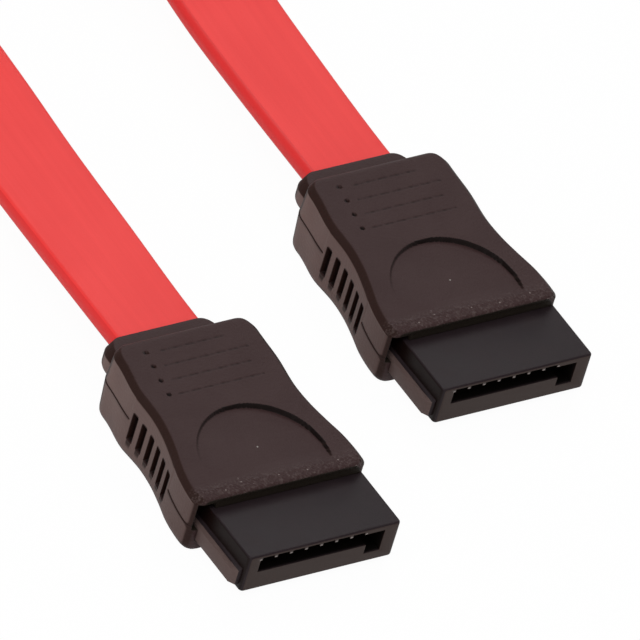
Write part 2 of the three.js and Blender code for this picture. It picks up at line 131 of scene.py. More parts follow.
def smooth_route(points, step):
    """Samples a centripetal curve through the points, about one step apart."""
    anchors = np.array(points, float)
    first = 2 * anchors[0] - anchors[1]
    last = 2 * anchors[-1] - anchors[-2]
    anchors = np.vstack([first, anchors, last])
    samples = []
    for i in range(1, len(anchors) - 2):
        p0, p1, p2, p3 = anchors[i - 1:i + 3]
        gaps = [math.sqrt(np.linalg.norm((b - a)[:3])) for a, b in ((p0, p1), (p1, p2), (p2, p3))]
        t1 = gaps[0]
        t2 = t1 + gaps[1]
        t3 = t2 + gaps[2]
        count = max(1, round(np.linalg.norm((p2 - p1)[:3]) / step))
        for k in range(count):
            t = t1 + (t2 - t1) * k / count
            a1 = (t1 - t) / t1 * p0 + t / t1 * p1
            a2 = (t2 - t) / (t2 - t1) * p1 + (t - t1) / (t2 - t1) * p2
            a3 = (t3 - t) / (t3 - t2) * p2 + (t - t2) / (t3 - t2) * p3
            b1 = (t2 - t) / t2 * a1 + t / t2 * a2
            b2 = (t3 - t) / (t3 - t1) * a2 + (t - t1) / (t3 - t1) * a3
            samples.append((t2 - t) / (t2 - t1) * b1 + (t - t1) / (t2 - t1) * b2)
    samples.append(anchors[-2])
    return np.array(samples)


def rounded_rectangle(width, height, radius, corner_steps, flat_steps):
    """Points round a flat section, from its right edge, with several along the two broad faces."""
    half_w = width / 2 - radius
    half_h = height / 2 - radius
    points = []
    for quarter, (cx, cz) in enumerate([
        (half_w, half_h), (-half_w, half_h), (-half_w, -half_h), (half_w, -half_h),
    ]):
        for k in range(corner_steps + 1):
            angle = (quarter + k / corner_steps) * math.pi / 2
            points.append((cx + radius * math.cos(angle), cz + radius * math.sin(angle)))
        if quarter in (0, 2):
            side = -1 if quarter == 0 else 1
            for k in range(1, flat_steps):
                points.append((-side * half_w + side * 2 * half_w * k / flat_steps, cz + radius * -side))
    return np.array(points)


def new_piece(name, vertices, faces):
    """A closed mesh from points in millimetres."""
    mesh = bpy.data.meshes.new(name)
    mesh.from_pydata([tuple(0.001 * c for c in v) for v in vertices], [], faces)
    mesh.validate()
    return add_object(name, mesh)


def tube_faces(ring_count, around, closed=False):
    """Faces between rings of points, with a cap at each end or, where closed, joined end to end."""
    faces = []
    for r in range(ring_count if closed else ring_count - 1):
        n = (r + 1) % ring_count
        for i in range(around):
            j = (i + 1) % around
            faces.append((r * around + i, n * around + i, n * around + j, r * around + j))
    if not closed:
        last = (ring_count - 1) * around
        faces.append(tuple(range(around)))
        faces.append(tuple(last + i for i in reversed(range(around))))
    return faces


def ribbon_mesh(name, route):
    """Sweeps the flat section along the route, turned by the route's fourth value in degrees."""
    section = rounded_rectangle(cable_width, cable_thickness, cable_edge_radius, 6, 12)
    centres = route[:, :3]
    ahead = np.gradient(centres, axis=0)
    ahead /= np.linalg.norm(ahead, axis=1)[:, None]
    level = np.cross(ahead, (0, 0, 1))
    level /= np.linalg.norm(level, axis=1)[:, None]
    lift = np.cross(level, ahead)
    turn = np.radians(route[:, 3])[:, None, None]
    x = section[None, :, 0, None]
    z = section[None, :, 1, None]
    across = x * np.cos(turn) - z * np.sin(turn)
    upward = x * np.sin(turn) + z * np.cos(turn)
    rings = centres[:, None] + across * level[:, None] + upward * lift[:, None]
    around = len(section)
    piece = new_piece(name, rings.reshape(-1, 3), tube_faces(len(route), around))
    along = np.concatenate([[0], np.cumsum(np.linalg.norm(np.diff(centres, axis=0), axis=1))])
    edge = np.linalg.norm(np.diff(np.vstack([section, section[:1]]), axis=0), axis=1)
    girth = np.concatenate([[0], np.cumsum(edge)])
    layer = piece.data.uv_layers.new(name="route")
    for face in piece.data.polygons:
        seam = len(face.vertices) == 4 and {i % around for i in face.vertices} == {0, around - 1}
        for loop in face.loop_indices:
            index = piece.data.loops[loop].vertex_index
            i = index % around
            place = girth[around] if seam and i == 0 else girth[i]
            layer.data[loop].uv = (along[index // around], place)
    return piece


def round_off(piece, angle):
    """Smooth shading, with edges that are sharper than the angle kept."""
    piece.data.shade_smooth()
    piece.data.set_sharp_from_angle(angle=math.radians(angle))


def outwards(piece):
    """Makes every face of a closed mesh point out."""
    work = bmesh.new()
    work.from_mesh(piece.data)
    bmesh.ops.recalc_face_normals(work, faces=work.faces)
    work.to_mesh(piece.data)
    work.free()


def add_node(tree, kind, inputs=None, **settings):
    """Adds a node, sets its options, and sets or links its inputs."""
    node = tree.nodes.new(kind)
    for name, value in settings.items():
        setattr(node, name, value)
    for name, value in (inputs or {}).items():
        if isinstance(value, bpy.types.NodeSocket):
            tree.links.new(value, node.inputs[name])
        else:
            node.inputs[name].default_value = value
    return node


def within(tree, value, low, high):
    """A mask that is one where a value lies between two bounds."""
    return add_node(tree, "ShaderNodeMath", {
        0: value, 1: (low + high) / 2, 2: (high - low) / 2}, operation="COMPARE").outputs[0]


def times(tree, *masks):
    """The product of several masks."""
    product = masks[0]
    for mask in masks[1:]:
        product = add_node(tree, "ShaderNodeMath", {0: product, 1: mask}, operation="MULTIPLY").outputs[0]
    return product


def ramp(tree, value, start, end, shape="LINEAR"):
    """A share that goes from nought to one as a value goes from start to end."""
    return add_node(tree, "ShaderNodeMapRange", {
        "Value": value, "From Min": start, "From Max": end}, interpolation_type=shape).outputs[0]


def new_group(name, inputs, outputs):
    """An empty shader node group with named number inputs and outputs."""
    group = bpy.data.node_groups.new(name, "ShaderNodeTree")
    for label, kind, value in inputs:
        socket = group.interface.new_socket(label, in_out="INPUT", socket_type=kind)
        if value is not None:
            socket.default_value = value
    for label, kind in outputs:
        group.interface.new_socket(label, in_out="OUTPUT", socket_type=kind)
    source = group.nodes.new("NodeGroupInput")
    sink = group.nodes.new("NodeGroupOutput")
    return group, source, sink


def empty_material(name):
    material = bpy.data.materials.new(name)
    material.use_nodes = True
    material.node_tree.nodes.clear()
    return material, material.node_tree


def principled(name, roughness, metallic=0.0, specular=0.5):
    """A material with one Principled shader and its constants set on the shader itself."""
    material, tree = empty_material(name)
    shader = add_node(tree, "ShaderNodeBsdfPrincipled", {
        "Roughness": roughness, "Metallic": metallic, "Specular IOR Level": specular})
    add_node(tree, "ShaderNodeOutputMaterial", {"Surface": shader.outputs[0]})
    return material, tree, shader


def add_bump(tree, shader, height, strength, distance):
    bump = add_node(tree, "ShaderNodeBump", {"Strength": strength, "Distance": distance, "Height": height})
    tree.links.new(bump.outputs[0], shader.inputs["Normal"])


def grain_group():
    """Fine moulded grain over slow unevenness: a height for bump and a mask around one half."""
    group, source, sink = new_group(
        "moulded_grain",
        [("Place", "NodeSocketVector", None), ("Grain per mm", "NodeSocketFloat", 6.0),
         ("Clouds per mm", "NodeSocketFloat", 0.3)],
        [("Height", "NodeSocketFloat"), ("Mask", "NodeSocketFloat")],
    )
    fine = add_node(group, "ShaderNodeTexNoise", {
        "Vector": source.outputs["Place"], "Scale": source.outputs["Grain per mm"], "Detail": 3.0})
    slow = add_node(group, "ShaderNodeTexNoise", {
        "Vector": source.outputs["Place"], "Scale": source.outputs["Clouds per mm"], "Detail": 2.0})
    group.links.new(fine.outputs[0], sink.inputs["Height"])
    group.links.new(slow.outputs[0], sink.inputs["Mask"])
    return group


def speck_group():
    """Sparse dust: a mask that is one inside a few tiny cells."""
    group, source, sink = new_group(
        "dust_specks",
        [("Place", "NodeSocketVector", None), ("Cells per mm", "NodeSocketFloat", 2.0),
         ("Share", "NodeSocketFloat", 0.03), ("Size", "NodeSocketFloat", 0.12)],
        [("Mask", "NodeSocketFloat")],
    )
    cells = add_node(group, "ShaderNodeTexVoronoi", {
        "Vector": source.outputs["Place"], "Scale": source.outputs["Cells per mm"]})
    parts = add_node(group, "ShaderNodeSeparateColor", {"Color": cells.outputs["Color"]})
    chosen = add_node(group, "ShaderNodeMath", {
        0: parts.outputs[0], 1: source.outputs["Share"]}, operation="LESS_THAN")
    near = add_node(group, "ShaderNodeMath", {
        0: cells.outputs["Distance"], 1: source.outputs["Size"]}, operation="LESS_THAN")
    group.links.new(times(group, chosen.outputs[0], near.outputs[0]), sink.inputs["Mask"])
    return group


moulded_grain = grain_group()
dust_specks = speck_group()


def use_group(tree, group, inputs):
    return add_node(tree, "ShaderNodeGroup", inputs, node_tree=group)


def blend_colours(tree, share, first, second):
    """Mixes two colours, given as colours or as sockets."""
    mix = tree.nodes.new("ShaderNodeMix")
    mix.data_type = "RGBA"
    tree.links.new(share, mix.inputs["Factor"])
    for socket, value in ((mix.inputs[6], first), (mix.inputs[7], second)):
        if isinstance(value, bpy.types.NodeSocket):
            tree.links.new(value, socket)
        else:
            socket.default_value = (*value, 1)
    return mix.outputs[2]


def jacket_material():
    """Satin red PVC with faint drawn streaks, a slow change of tone and painted shade along its left edge.
    """
    material, tree, shader = principled("red_jacket", roughness=0.45, specular=0.2)
    route = add_node(tree, "ShaderNodeUVMap", uv_map="route")
    stretched = add_node(tree, "ShaderNodeMapping", {"Vector": route.outputs[0], "Scale": (0.03, 1.0, 1.0)})
    streaks = add_node(tree, "ShaderNodeTexNoise", {
        "Vector": stretched.outputs[0], "Scale": 1.6, "Detail": 4.0})
    grain = use_group(tree, moulded_grain, {
        "Place": route.outputs[0], "Grain per mm": 7.0, "Clouds per mm": 0.12})
    tone = ramp(tree, times(tree, streaks.outputs[0], grain.outputs["Mask"]), 0.12, 0.38)
    broad = blend_colours(tree, tone, (0.74, 0.034, 0.032), (0.79, 0.043, 0.04))
    girth = add_node(tree, "ShaderNodeSeparateXYZ", {"Vector": route.outputs[0]}).outputs["Y"]
    # Painted shade: the cable's rounded left edge is darker in colour.
    left_start = cable_width - 2 * cable_edge_radius + cable_edge_radius * math.pi / 2
    left_side_shade = within(tree, girth, left_start + 0.3, left_start + cable_thickness + 0.6)
    colour = blend_colours(tree, left_side_shade, broad, (0.66, 0.027, 0.027))
    tree.links.new(colour, shader.inputs["Base Color"])
    height = add_node(tree, "ShaderNodeMath", {
        0: streaks.outputs[0], 1: 2.0, 2: grain.outputs["Height"]}, operation="MULTIPLY_ADD")
    add_bump(tree, shader, height.outputs[0], 0.25, 0.00004)
    return material


route_points = [*lead_a, *hank_turns(), *[(x, y, z, 180 - t) for x, y, z, t in reversed(lead_b)]]
cable_route = smooth_route(route_points, ring_step)
cable = ribbon_mesh("cable", cable_route)
outwards(cable)
round_off(cable, 60)
cable.data.materials.append(jacket_material())
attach(cable, "root")
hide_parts("cable_lead_a", "cable_lead_b", "cable_hank")


# Ties: two flat vinyl straps closed round the hank's runs, one on each side.
tie_width = 4.0
tie_thickness = 0.4
tie_clearance = 0.1
tie_corner = 0.9
tie_base = 0.45
tie_rounding = 0.1


def tie_mesh(name, side):
    outside = hank_outer + cable_thickness / 2
    inside = hank_outer - run_spacing - cable_thickness / 2
    half = (outside - inside) / 2 + tie_clearance
    low = tie_base - tie_clearance / 2
    high = tie_base + cable_width + tie_clearance
    middle = side * (outside + inside) / 2
    height = high - low
    inner = rounded_rectangle(2 * half, height, tie_corner - tie_thickness, 8, 4)
    outer = rounded_rectangle(2 * half + 2 * tie_thickness, height + 2 * tie_thickness, tie_corner, 8, 4)
    start = hank_front + (hank_run - tie_width) / 2
    end = start + tie_width
    soft = tie_rounding
    profile = [
        (outer, start + soft, 0), (outer, end - soft, 0), (outer, end, soft), (inner, end, -soft),
        (inner, end - soft, 0), (inner, start + soft, 0), (inner, start, -soft), (outer, start, soft),
    ]
    rings = []
    for ring, y, shrink in profile:
        scale = 1 - shrink / (half + tie_thickness)
        tall = 1 - shrink / (height / 2 + tie_thickness)
        rings.append([(middle + x * scale, y, (low + high) / 2 + z * tall) for x, z in ring])
    faces = tube_faces(len(rings), len(outer), closed=True)
    piece = new_piece(name, [p for ring in rings for p in ring], faces)
    outwards(piece)
    round_off(piece, 50)
    return piece


def grained_material(name, dark, light, roughness, grain_scale, clouds=0.3, relief=0.00005, metallic=0.0):
    """One finish with a fine grain, slowly changing between two tones."""
    material, tree, shader = principled(name, roughness=roughness, metallic=metallic)
    place = add_node(tree, "ShaderNodeTexCoord")
    in_mm = add_node(tree, "ShaderNodeMapping", {
        "Vector": place.outputs["Object"], "Scale": (1000, 1000, 1000)})
    grain = use_group(tree, moulded_grain, {
        "Place": in_mm.outputs[0], "Grain per mm": grain_scale, "Clouds per mm": clouds})
    colour = blend_colours(tree, grain.outputs["Mask"], dark, light)
    tree.links.new(colour, shader.inputs["Base Color"])
    add_bump(tree, shader, grain.outputs["Height"], 0.4, relief)
    return material


vinyl = grained_material("tie_vinyl", (0.012, 0.012, 0.013), (0.03, 0.03, 0.032), 0.55, 5.0)
for side, letter in ((-1, "left"), (1, "right")):
    tie = tie_mesh(f"tie_strap_{letter}", side)
    tie.data.materials.append(vinyl)
    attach(tie, "root")
    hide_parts(f"cable_tie_{letter}")


# Overmould: the soft black grip moulded round the housing's rear and the cable's end. A wedge with a
# waist, chamfered along its top, with six grip slots in each side, a round thumb recess, faint index
# lines with a dot each, a parting line, and a rounded collar where the cable leaves it.
front_y = -16.55
plug_stagger = 10.8
plug_places = {"a": (-plug_x, front_y), "b": (plug_x, front_y + plug_stagger)}
body_front = 5.3
body_length = 15.0
body_rear = body_front + body_length
side_line = [
    (7.24, 5.3), (7.24, 6.6), (7.03, 8.3), (6.58, 10.0), (6.2, 11.7), (6.02, 13.5), (6.17, 16.2),
    (6.14, 18.0), (6.12, 20.3),
]
side_draft_start = 15.3
side_draft_end = 18.9
side_draft_above = 0.2
side_draft_below = 0.32
rear_shift = 0.12
body_front_height = 4.75
body_rear_height = 6.1
top_chamfer = 0.45
chamfer_soft = 0.09
bottom_round = 0.85
rear_round = 0.6
rear_corner = 1.4
front_corner = 0.7
front_round = 0.26
collar_end = 22.3
collar_width = 9.9
collar_height = 2.0
collar_corner = 0.6
collar_taper = 0.5
collar_inset = 0.12
collar_side_taper = 1.6
collar_side_inset = 1.2
grip_first = 9.62
grip_pitch = 1.1
grip_count = 6
grip_places = [grip_first + grip_pitch * i for i in range(grip_count)]
grip_width = 0.5
grip_depth = 0.5
grip_low = 1.3
grip_high = 3.65
grip_rise = 0.064
grip_wall = 0.03
parting_front = 2.3
parting_rise = 0.088
parting_width = 0.05
parting_depth = 0.07
parting_step = 0.03
thumb_centre = 7.8
thumb_radius = 4.95
thumb_depth = 0.12
thumb_fall_rearward = 0.037
thumb_fall_right = 0.03
thumb_front = 6.0
thumb_ramp = 1.4
thumb_edge = 0.08
lip_width = 1.05
lip_rise = 0.05
lip_lumps = 0.035
lip_fade = 0.25
mark_first = 18.76
mark_pitch = 1.32
mark_spans = [(-2.5, 3.1), (-2.9, 4.2), (-3.1, 3.7), (-3.2, 4.1)]
mark_width = 0.1
mark_depth = 0.06
dot_ahead = 0.14
dot_x = -3.69
dot_drift = 0.065
dot_radius = 0.19
dot_depth = 0.18
skin_step = 0.085


def ease(t):
    s = np.clip(t, 0, 1)
    return s * s * (3 - 2 * s)


def body_top(y):
    return body_front_height + (body_rear_height - body_front_height) * (y - body_front) / body_length


side_curve = smooth_route([(x, y, 0) for x, y in side_line], 0.1)


def body_half_width(y):
    return float(np.interp(y, side_curve[:, 1], side_curve[:, 0]))


def parting_height(y):
    return parting_front + parting_rise * (y - body_front)


def rear_share(y):
    """Nought along the grip's front and one at its rear."""
    return float(ease((y - side_draft_start) / (side_draft_end - side_draft_start)))


def side_draft(y, z):
    """How far the rear of a side wall leans in, above and below the parting line."""
    share = rear_share(y)
    parting = parting_height(y)
    if z > parting:
        return share * side_draft_above * (z - parting) / (body_top(y) - parting)
    return share * side_draft_below * (parting - z) / parting


def body_middle(y):
    """The grip's rear lies a little to the right."""
    return rear_shift * rear_share(y)


def spread(stops, step):
    """Places through every stop, at most one step apart."""
    places = [stops[0]]
    for a, b in zip(stops, stops[1:]):
        count = max(1, math.ceil((b - a) / step - 1e-6))
        places.extend(a + (b - a) * k / count for k in range(1, count + 1))
    return places


side_levels = np.array(spread(list(range(7)), 1 / 5))
side_rising = 7
top_steps = 82


def side_stops(y):
    """Heights on the side wall at one place: the slots' ends and the parting line between them."""
    low = grip_low + grip_rise * (y - grip_first)
    high = grip_high + grip_rise * (y - grip_first)
    parting = parting_height(y)
    return [low - grip_wall, low + grip_wall, parting - parting_width, parting,
            parting + parting_width, high - grip_wall, high + grip_wall]


def section_half(y, half, low, high, corner, cut):
    """The right half of a ring, from the middle of the bottom round to the middle of the top."""
    points = [(x, low, 0) for x in np.linspace(0, half - corner, 7)[:-1]]
    for angle in np.linspace(0, math.pi / 2, 6):
        out, down = corner * math.sin(angle), corner * math.cos(angle)
        points.append((half - corner + out, low + corner - down, 0))
    side_low = low + corner
    side_top = high - cut - chamfer_soft
    stops = side_stops(y)
    heights = np.interp(side_levels, range(len(stops)), stops)
    heights = np.append(heights, np.linspace(stops[-1], side_top, side_rising)[1:])
    if side_low > stops[0] or side_top < stops[-1]:
        heights = np.linspace(side_low, side_top, len(heights) + 1)[1:]
    points.extend((half, z, 1) for z in heights)
    soft = chamfer_soft
    points.extend([
        (half - 0.2 * soft, high - cut, 0), (half - soft, high - cut + soft, 0),
        (half - cut / 2, high - cut / 2, 0), (half - cut + soft, high - soft, 0),
        (half - cut, high - 0.2 * soft, 0),
    ])
    points.extend((x, high, 2) for x in np.linspace(half - cut - soft, 0, top_steps))
    return points


def section_ring(y, half, low, high, corner, cut):
    """A whole ring as rows of x, y, z and the face it belongs to: 1 side, 2 top."""
    right = section_half(y, half, low, high, corner, cut)
    left = [(-x, z, part) for x, z, part in right[-2:0:-1]]
    return [(x, y, z, part) for x, z, part in [*right, *left]]


def grip_cut(y, z):
    stops = side_stops(y)
    low, high = stops[1], stops[5]
    wall = 2 * grip_wall
    along = max(ease((grip_width / 2 + grip_wall - abs(y - place)) / wall) for place in grip_places)
    tall = ease((z - low + wall) / wall) * ease((high + wall - z) / wall)
    return grip_depth * along * tall


def side_cut(y, z):
    """How far the side wall lies in from its outline."""
    if grip_places[0] - grip_pitch / 2 < y < grip_places[-1] + grip_pitch / 2:
        return grip_cut(y, z)
    parting = parting_height(y)
    groove = parting_depth * max(0, 1 - abs(z - parting) / parting_width)
    return groove + (parting_step if z > parting else 0)


def thumb_cut(x, y):
    away = math.hypot(x, y - thumb_centre)
    depth = max(0, thumb_depth + thumb_fall_rearward * (y - thumb_centre) + thumb_fall_right * x)
    ramp = ease((y - thumb_front) / thumb_ramp)
    return depth * float(ramp * ease((thumb_radius + thumb_edge / 2 - away) / thumb_edge))


def mark_cut(x, y):
    depth = 0
    for i, (start, end) in enumerate(mark_spans):
        place = mark_first - i * mark_pitch
        if abs(y - place) <= mark_width and start <= x <= end:
            worn = 0.55 + 0.45 * math.sin(9 * x + 5 * i) * math.sin(3.7 * x + 2 * i)
            depth = max(depth, mark_depth * worn * (1 - abs(y - place) / mark_width))
        away = math.hypot(x - dot_x + i * dot_drift, y - place - dot_ahead)
        depth = max(depth, dot_depth * ease((dot_radius - away) / (0.6 * dot_radius)))
    return depth


def top_cut(x, y):
    """How far the top lies below its outline."""
    on_lip = float(ease((body_front + lip_width - y) / lip_fade))
    lumps = math.sin(7.1 * x + 3 * y) * math.sin(11.3 * x - 8 * y) + math.sin(23 * x + 17 * y)
    rise = on_lip * (lip_rise + lip_lumps * 0.5 * lumps)
    return thumb_cut(x, y) + mark_cut(x, y) - rise


def carved_ring(y, half, inset):
    """A ring of the grip's body with what is cut into its sides and top."""
    ring = section_ring(y, half, inset, body_top(y) - inset, bottom_round, top_chamfer)
    for i, (x, _, z, part) in enumerate(ring):
        side = math.copysign(1, x)
        if part == 1:
            x -= side * side_cut(y, z)
        elif part == 2:
            z -= top_cut(x, y)
        outward = min(1, abs(x) / (half - 1.0))
        x -= side * outward * side_draft(y, z)
        ring[i] = (x + body_middle(y), y, z, part)
    return ring


def edge_inset(radius, past):
    """How far a rounded edge of one radius has drawn in, a way past where it starts."""
    return radius - math.sqrt(radius ** 2 - min(max(0.0, past), radius) ** 2)


def overmould_rings():
    rings = []
    for angle in np.linspace(0, math.pi / 2, 12)[:-1]:
        y = body_front + front_corner * (1 - math.cos(angle))
        side = body_half_width(y) - front_corner * (1 - math.sin(angle))
        rings.append(carved_ring(y, side, edge_inset(front_round, body_front + front_round - y)))
    stops = [body_front + front_corner]
    for place in grip_places:
        for edge in (place - grip_width / 2, place + grip_width / 2):
            stops.extend([edge - grip_wall, edge + grip_wall])
    stops.append(body_rear - rear_corner)
    for y in spread(stops, skin_step):
        rings.append(carved_ring(y, body_half_width(y), 0))
    for angle in np.linspace(0, math.pi / 2, 14)[1:]:
        y = body_rear - rear_corner * (1 - math.sin(angle))
        side = body_half_width(y) - rear_corner * (1 - math.cos(angle))
        rings.append(carved_ring(y, side, edge_inset(rear_round, y - body_rear + rear_round)))
    low = cable_height - collar_height / 2
    high = cable_height + collar_height / 2
    collar_soft = [collar_end - 0.3, collar_end - 0.28]
    for y in [*np.linspace(body_rear, collar_soft[0], 12), *np.linspace(collar_soft[1], collar_end, 8)]:
        inset = collar_inset * edge_inset(1, 1 - (collar_end - y) / collar_taper)
        side_inset = collar_side_inset * edge_inset(1, 1 - (collar_end - y) / collar_side_taper)
        rings.append(section_ring(y, collar_width / 2 - side_inset, low + inset, high - inset,
                                  collar_corner, collar_corner))
    return rings


def box_piece(name, x0, x1, y0, y1, z0, z1):
    points = [(x, y, z) for z in (z0, z1) for y in (y0, y1) for x in (x0, x1)]
    faces = [(0, 2, 3, 1), (4, 5, 7, 6), (0, 1, 5, 4), (2, 6, 7, 3), (0, 4, 6, 2), (1, 3, 7, 5)]
    return new_piece(name, points, faces)


def apply_modifiers(piece):
    """Turns a piece with its modifiers into a plain mesh."""
    evaluated = piece.evaluated_get(bpy.context.evaluated_depsgraph_get())
    mesh = bpy.data.meshes.new_from_object(evaluated)
    piece.modifiers.clear()
    piece.data = mesh


def combine(piece, other, operation):
    """Joins to a piece, or cuts from it, another closed mesh, which is then gone."""
    modifier = piece.modifiers.new("combine", "BOOLEAN")
    modifier.operation = operation
    modifier.solver = "EXACT"
    modifier.object = other
    apply_modifiers(piece)
    bpy.data.objects.remove(other)


def union_of(pieces):
    for other in pieces[1:]:
        combine(pieces[0], other, "UNION")
    return pieces[0]


head_left = -5.85
head_right = 6.95
head_bottom = 0.65
head_top = 3.8
housing_rear = 9.3
wing_outer = -6.45
wing_bottom = 1.1
wing_top = 2.5
wing_rear = 6.9
hood_wall = 0.4
hood_outer = -6.95
hood_low = 2.05
hood_depth = 2.0
wires_half = 5.35
wires_bottom = 1.25
wires_top = 4.28
jacket_end = 18.7
gap = 0.05
head_overlap = 0.4


def overmould_hollow():
    """The space inside: round the head and wing, over the wing, for the wires and for the cable."""
    return union_of([
        box_piece("hollow", head_left - gap, head_right + gap, body_front - 1, housing_rear + gap,
                  head_bottom - gap, head_top + gap),
        box_piece("hollow_wing", wing_outer - gap, 0, body_front - 1, wing_rear + gap,
                  wing_bottom - gap, wing_top + gap),
        box_piece("hollow_hood", hood_outer, head_left + head_overlap, body_front - 1.1,
                  body_front + hood_depth, hood_low, body_front_height - hood_wall),
        box_piece("hollow_wires", -wires_half, wires_half, housing_rear - 0.3, jacket_end,
                  wires_bottom, wires_top),
        box_piece("hollow_cable", cable_shift - cable_width / 2 - gap, cable_shift + cable_width / 2 + gap,
                  jacket_end - 1.1, collar_end + 1, cable_height - cable_thickness / 2 - gap,
                  cable_height + cable_thickness / 2 + gap),
    ])


def overmould_mesh():
    rings = overmould_rings()
    faces = tube_faces(len(rings), len(rings[0]))
    piece = new_piece("overmould", [p[:3] for ring in rings for p in ring], faces)
    outwards(piece)
    combine(piece, overmould_hollow(), "DIFFERENCE")
    return piece


def placed_copy(master, name, letter):
    """A copy of a plug's piece with its mesh moved to one plug's place."""
    mesh = master.data.copy()
    x, y = plug_places[letter]
    mesh.transform(Matrix.Translation((0.001 * x, 0.001 * y, 0)))
    return add_object(name, mesh)


def remember_place(piece):
    """Keeps each point's place in the plug, in millimetres, and which way its surface faces."""
    places = np.empty(3 * len(piece.data.vertices))
    piece.data.vertices.foreach_get("co", places)
    layer = piece.data.attributes.new("place", "FLOAT_VECTOR", "POINT")
    layer.data.foreach_set("vector", 1000 * places)
    facing = np.empty(3 * len(piece.data.vertices))
    piece.data.vertex_normals.foreach_get("vector", facing)
    layer = piece.data.attributes.new("facing", "FLOAT_VECTOR", "POINT")
    layer.data.foreach_set("vector", facing)


def remember_sunken(piece):
    """Keeps how deep each point is in a grip slot, an index line, a dot or the parting line, or on the
    thumb recess's wall, from nought to one: the mask for the overmould's painted shade and dark parting
    seam."""
    sunken = []
    for vertex in piece.data.vertices:
        x, y, z = 1000 * vertex.co
        x -= body_middle(y)
        depth = 0
        if z > body_top(y) - 0.5:
            depth = mark_cut(x, y) / mark_depth
            away = abs(math.hypot(x, y - thumb_centre) - thumb_radius)
            depth = max(depth, (away < thumb_edge) * 3.5 * thumb_cut(x * 0.97, y - 0.1))
        elif abs(x) > body_half_width(y) - grip_depth - 0.4:
            depth = side_cut(y, z) / parting_depth - 0.5
        sunken.append(min(1, max(0, depth)))
    layer = piece.data.attributes.new("sunken", "FLOAT", "POINT")
    layer.data.foreach_set("value", sunken)


def plug_place(tree):
    return add_node(tree, "ShaderNodeAttribute", attribute_name="place").outputs["Vector"]


def sideways(tree, start, end):
    """A mask that is one where a plug's surface faces left or right."""
    facing = add_node(tree, "ShaderNodeAttribute", attribute_name="facing")
    parts = add_node(tree, "ShaderNodeSeparateXYZ", {"Vector": facing.outputs["Vector"]})
    across = add_node(tree, "ShaderNodeMath", {0: parts.outputs["X"]}, operation="ABSOLUTE")
    return ramp(tree, across.outputs[0], start, end, "SMOOTHSTEP")


def overmould_material():
    """Soft black plastic: fine grain, painted light on the grey-brown sides, painted shade on the chamfer,
    in the slots and other recesses and round the hood, a rough lip with lighter patches, some dust.
    """
    material, tree, shader = principled("black_overmould", roughness=0.58, specular=0.15)
    place = plug_place(tree)
    grain = use_group(tree, moulded_grain, {"Place": place, "Grain per mm": 5.0, "Clouds per mm": 0.35})
    parts = add_node(tree, "ShaderNodeSeparateXYZ", {"Vector": place})
    x, y, z = parts.outputs["X"], parts.outputs["Y"], parts.outputs["Z"]
    lip = times(tree, ramp(tree, y, body_front + 1.5, body_front + 0.9),
                ramp(tree, z, body_front_height - 0.45, body_front_height - 0.2))
    top_tone = blend_colours(tree, grain.outputs["Mask"], (0.032, 0.0145, 0.0145), (0.043, 0.0225, 0.022))
    # Painted shade: surfaces turned partly sideways, the top chamfer above all, are darkened.
    chamfer_shaded = blend_colours(tree, sideways(tree, 0.25, 0.55), top_tone, (0.018, 0.0055, 0.0035))
    # Painted light: the side walls are a lighter grey-brown than the top, lighter still towards the rear.
    rearward = ramp(tree, y, body_front, body_rear)
    side_painted_light = blend_colours(tree, rearward, (0.072, 0.042, 0.037), (0.165, 0.108, 0.097))
    patchy_side_light = blend_colours(tree, grain.outputs["Mask"], side_painted_light, (0.092, 0.058, 0.053))
    base = blend_colours(tree, sideways(tree, 0.85, 0.97), chamfer_shaded, patchy_side_light)
    # Lighter patches and pale flecks on the front lip, over its rough relief.
    lip_noise = add_node(tree, "ShaderNodeTexNoise", {"Vector": place, "Scale": 5.5, "Detail": 4.0})
    lip_patch = times(tree, lip, ramp(tree, lip_noise.outputs[0], 0.5, 0.75))
    lipped = blend_colours(tree, lip_patch, base, (0.08, 0.055, 0.052))
    bright = use_group(tree, dust_specks, {
        "Place": place, "Cells per mm": 2.6, "Share": 0.13, "Size": 0.17})
    flecked = blend_colours(tree, times(tree, lip, bright.outputs["Mask"]), lipped, (0.2, 0.16, 0.15))
    # Painted shade: points deep in the grip slots, index lines and dots and on the thumb recess's wall are
    # darkened; the parting line gets a dark seam from the same mask.
    sunken = add_node(tree, "ShaderNodeAttribute", attribute_name="sunken")
    recess_shaded = blend_colours(tree, sunken.outputs["Fac"], flecked, (0.006, 0.0025, 0.002))
    # Painted shade: the overmould's front face over the head and the hollow under the hood are darkened.
    over_head = times(tree, within(tree, y, body_front - 0.1, body_front + 0.02),
                      within(tree, z, hood_low, body_front_height))
    under_hood = times(tree, within(tree, y, body_front - 0.1, body_front + hood_depth + 0.1),
                       within(tree, x, hood_outer - 0.02, head_left + 0.5),
                       within(tree, z, hood_low - 0.02, body_front_height - hood_wall + 0.02))
    shaded = add_node(tree, "ShaderNodeMath", {0: over_head, 1: under_hood}, operation="MAXIMUM")
    deep = blend_colours(tree, shaded.outputs[0], recess_shaded, (0.013, 0.009, 0.006))
    dust = use_group(tree, dust_specks, {"Place": place, "Cells per mm": 1.3, "Share": 0.02, "Size": 0.09})
    dusty = blend_colours(tree, dust.outputs["Mask"], deep, (0.3, 0.28, 0.26))
    tree.links.new(dusty, shader.inputs["Base Color"])
    coarse = times(tree, lip_noise.outputs[0], lip)
    height = add_node(tree, "ShaderNodeMath", {
        0: coarse, 1: 3.0, 2: grain.outputs["Height"]}, operation="MULTIPLY_ADD")
    add_bump(tree, shader, height.outputs[0], 0.6, 0.00006)
    return material


